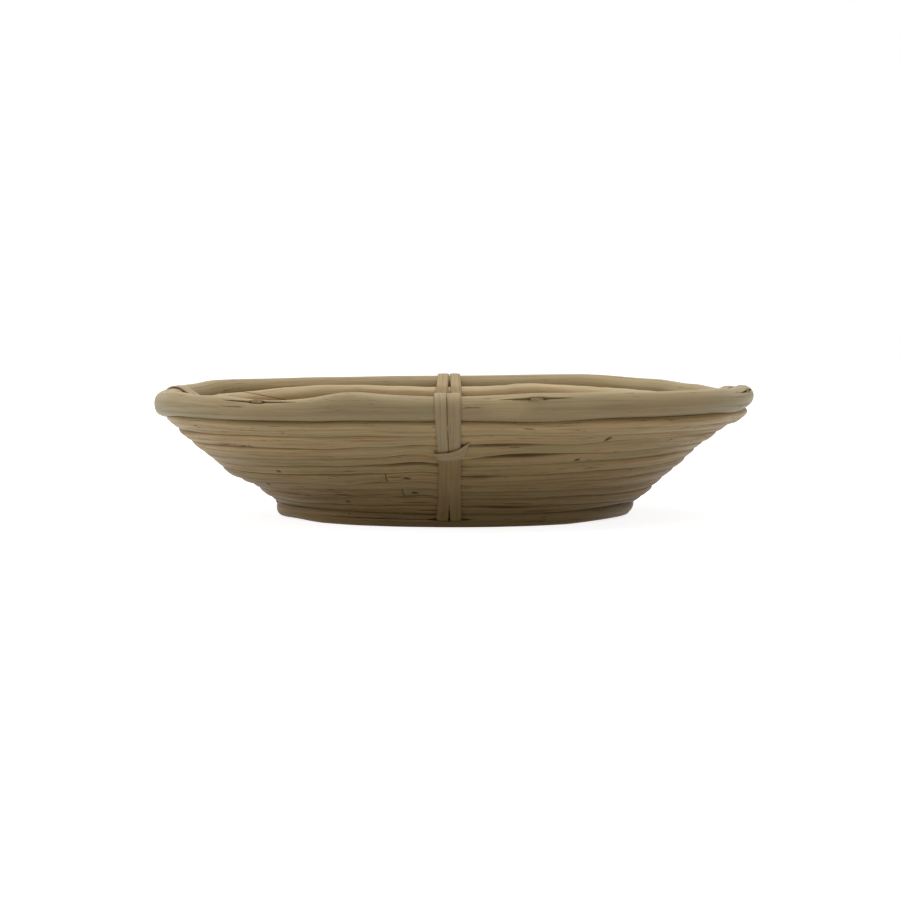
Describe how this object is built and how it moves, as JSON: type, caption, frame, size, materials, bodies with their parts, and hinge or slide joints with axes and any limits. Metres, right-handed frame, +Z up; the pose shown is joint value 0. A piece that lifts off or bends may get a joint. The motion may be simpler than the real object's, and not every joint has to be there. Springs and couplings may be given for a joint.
{
  "type": "rattan basket",
  "caption": "Shallow round bowl basket of stacked bent rattan rods, tied at its sides with split cane over a thick rim and a foot rod.",
  "frame": {"origin": "on the table, under the middle of the basket, on the plane that the foot rod rests on", "axes": "+Z up, -Y towards the pictured front, +X to the right seen from the front"},
  "size_m": [0.3524, 0.3558, 0.0805],
  "materials": {
    "wall_rattan": "peeled rattan, dry and satin, with bark patches and grain along the rod",
    "rim_rattan": "thick peeled rattan pole, satin, greyer than the wall",
    "pale_rattan": "paler peeled rattan, satin",
    "split_cane": "flat split cane, smooth satin skin side out"
  },
  "bodies": {
    "root": {"foot_rod": "wall_rattan", "base_coil": "pale_rattan", "wall_hoop_1": "wall_rattan", "wall_hoop_2": "wall_rattan", "wall_hoop_3": "wall_rattan", "wall_hoop_4": "wall_rattan", "wall_hoop_5": "wall_rattan", "wall_hoop_6": "wall_rattan", "wall_hoop_7": "wall_rattan", "wall_hoop_8": "wall_rattan", "wall_hoop_9": "wall_rattan", "wall_hoop_10": "wall_rattan", "rim_rod": "rim_rattan", "rim_inner_rod": "pale_rattan", "rim_peg_1": "split_cane", "rim_peg_2": "split_cane", "rim_peg_3": "split_cane", "rim_peg_4": "split_cane", "rim_peg_5": "split_cane", "rim_peg_6": "split_cane", "front_rim_strip_left": "split_cane", "front_rim_strip_right": "split_cane", "front_cross_tie": "split_cane", "right_rim_strip_left": "split_cane", "right_rim_strip_right": "split_cane", "right_cross_tie": "split_cane", "back_rim_strip_left": "split_cane", "back_rim_strip_right": "split_cane", "back_cross_tie": "split_cane", "left_rim_strip_left": "split_cane", "left_rim_strip_right": "split_cane", "left_cross_tie": "split_cane", "front_back_tie_left": "split_cane", "front_back_tie_right": "split_cane", "side_tie_front": "split_cane", "side_tie_back": "split_cane"}
  },
  "joints": []
}
